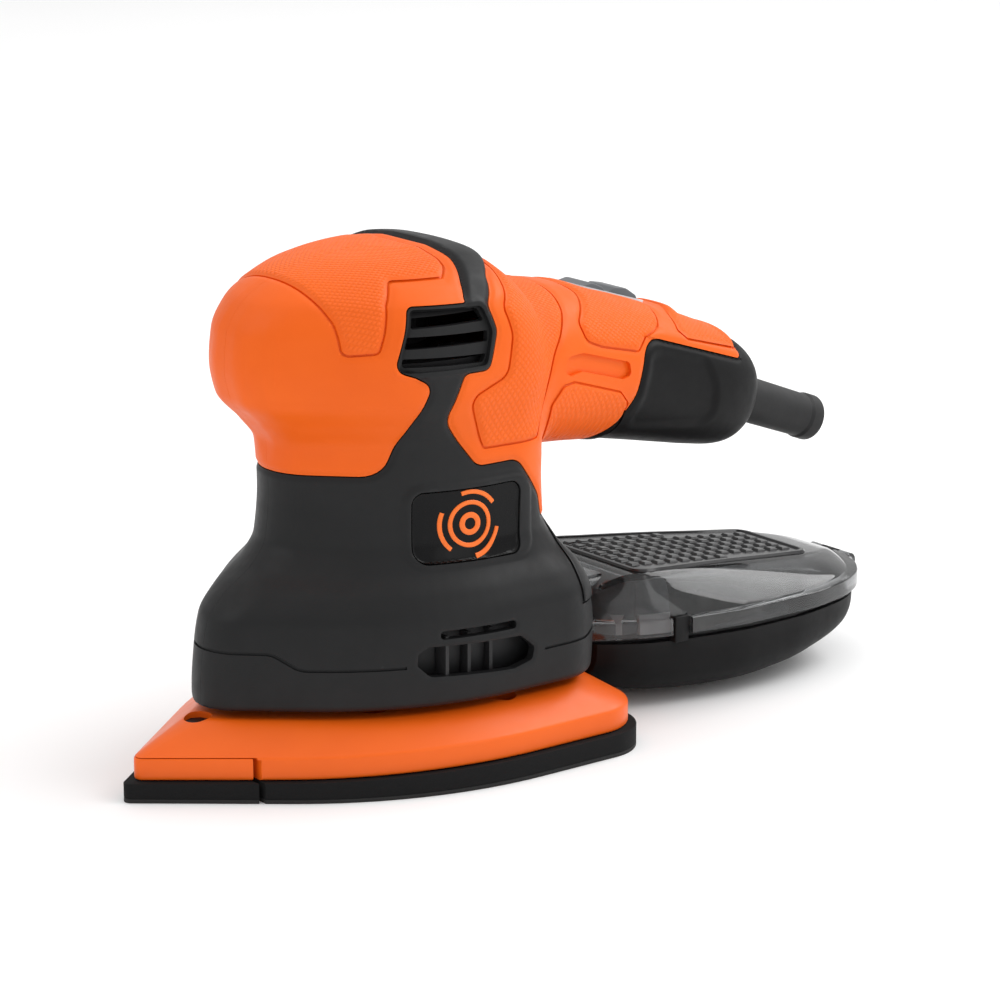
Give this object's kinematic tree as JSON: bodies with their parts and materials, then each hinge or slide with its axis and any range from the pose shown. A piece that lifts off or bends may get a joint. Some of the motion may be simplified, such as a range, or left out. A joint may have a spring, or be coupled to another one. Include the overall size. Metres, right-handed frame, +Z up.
{
  "type": "detail palm sander",
  "caption": "Corded detail sander with a pointed orbiting sanding pad, a bulbous motor head, a rear grip with rocker switch, and a removable clear-topped dust canister.",
  "frame": {"origin": "on the sanding face, directly under the motor shaft's axis", "axes": "+Z up along the motor shaft, -Y towards the pointed nose, +Y towards the handle and dust canister, +X to the side that is on the right when looking along +Y"},
  "size_m": [0.095, 0.236, 0.1303],
  "materials": {
    "housing_orange": "fine-textured moulded",
    "housing_black": "fine-textured moulded",
    "rubber_black": "matte",
    "pad_foam": "closed-cell foam with hook face",
    "abrasive_paper": "aluminium-oxide grit on cloth-backed paper",
    "smoked_clear": "transparent smoke, polished",
    "inner_black": "glass-filled nylon",
    "switch_grey": "satin",
    "bezel_silver": "satin",
    "steel": "ground",
    "laminated_steel": "stamped",
    "copper_wire": "enamelled",
    "brass": "stamped",
    "carbon": "sintered carbon",
    "lead_insulation": "satin",
    "filter_paper": "pleated",
    "screw_zinc": "zinc plated"
  },
  "bodies": {
    "housing": {"base_shell_left": "housing_black", "base_shell_right": "housing_black", "lobe_cover_left": "housing_orange", "lobe_cover_right": "housing_orange", "handle_shell_left": "housing_orange", "handle_shell_right": "housing_orange", "handle_end_cap": "housing_black", "cord_strain_relief": "rubber_black", "cord_clamp": "inner_black", "cord_clamp_screw": "screw_zinc", "switch_bezel": "bezel_silver", "switch_module": "inner_black", "badge_plate_left": "housing_black", "badge_plate_right": "housing_black", "clamshell_screw_1": "screw_zinc", "clamshell_screw_2": "screw_zinc", "clamshell_screw_3": "screw_zinc", "clamshell_screw_4": "screw_zinc", "exhaust_port": "housing_black", "fan_baffle": "inner_black", "lower_bearing": "steel", "upper_bearing": "steel", "field_stack": "laminated_steel", "field_coil_left": "copper_wire", "field_coil_right": "copper_wire", "brush_plate": "inner_black", "brush_holder_front": "brass", "brush_holder_rear": "brass", "carbon_brush_front": "carbon", "carbon_brush_rear": "carbon", "brush_spring_front": "steel", "brush_spring_rear": "steel", "motor_leads": "rubber_black", "supply_leads": "lead_insulation"},
    "shaft": {"motor_shaft": "steel", "counterweight": "laminated_steel", "cooling_fan": "inner_black", "armature_core": "laminated_steel", "armature_windings": "copper_wire", "commutator": "copper_wire", "platen_screw": "screw_zinc"},
    "platen": {"platen": "housing_orange", "detail_tip": "housing_orange", "tip_screw": "screw_zinc", "platen_pad": "pad_foam", "tip_pad": "pad_foam", "sanding_sheet": "abrasive_paper", "tip_sheet": "abrasive_paper", "platen_bearing": "steel", "platen_leg_front": "rubber_black", "platen_leg_left": "rubber_black", "platen_leg_right": "rubber_black"},
    "rocker": {"switch_rocker": "switch_grey"},
    "canister": {"canister_cover": "smoked_clear", "canister_seal": "rubber_black", "canister_hinge_pin": "steel"},
    "bowl": {"canister_bowl": "housing_black", "filter_frame": "switch_grey", "filter_media": "filter_paper"}
  },
  "joints": [
    {"name": "shaft_spin", "type": "hinge", "parent": "housing", "child": "shaft", "pos_m": [0, 0, 0.024], "axis": [0, 0, 1], "continuous": true},
    {"name": "platen_orbit", "type": "hinge", "parent": "shaft", "child": "platen", "pos_m": [0, 0.001, 0.0166], "axis": [0, 0, 1], "continuous": true},
    {"name": "switch_rock", "type": "hinge", "parent": "housing", "child": "rocker", "pos_m": [0, 0.068, 0.1052], "axis": [1, 0, 0], "range_deg": [0, 10]},
    {"name": "canister_pull", "type": "slide", "parent": "housing", "child": "canister", "axis": [0, 1, 0], "range_m": [0, 0.04]},
    {"name": "bowl_swing", "type": "hinge", "parent": "canister", "child": "bowl", "pos_m": [0, 0.155, 0.0223], "axis": [1, 0, 0], "range_deg": [0, 60]}
  ],
  "couplings": [
    {"joint": "platen_orbit", "follows": "shaft_spin", "ratio": -1}
  ]
}
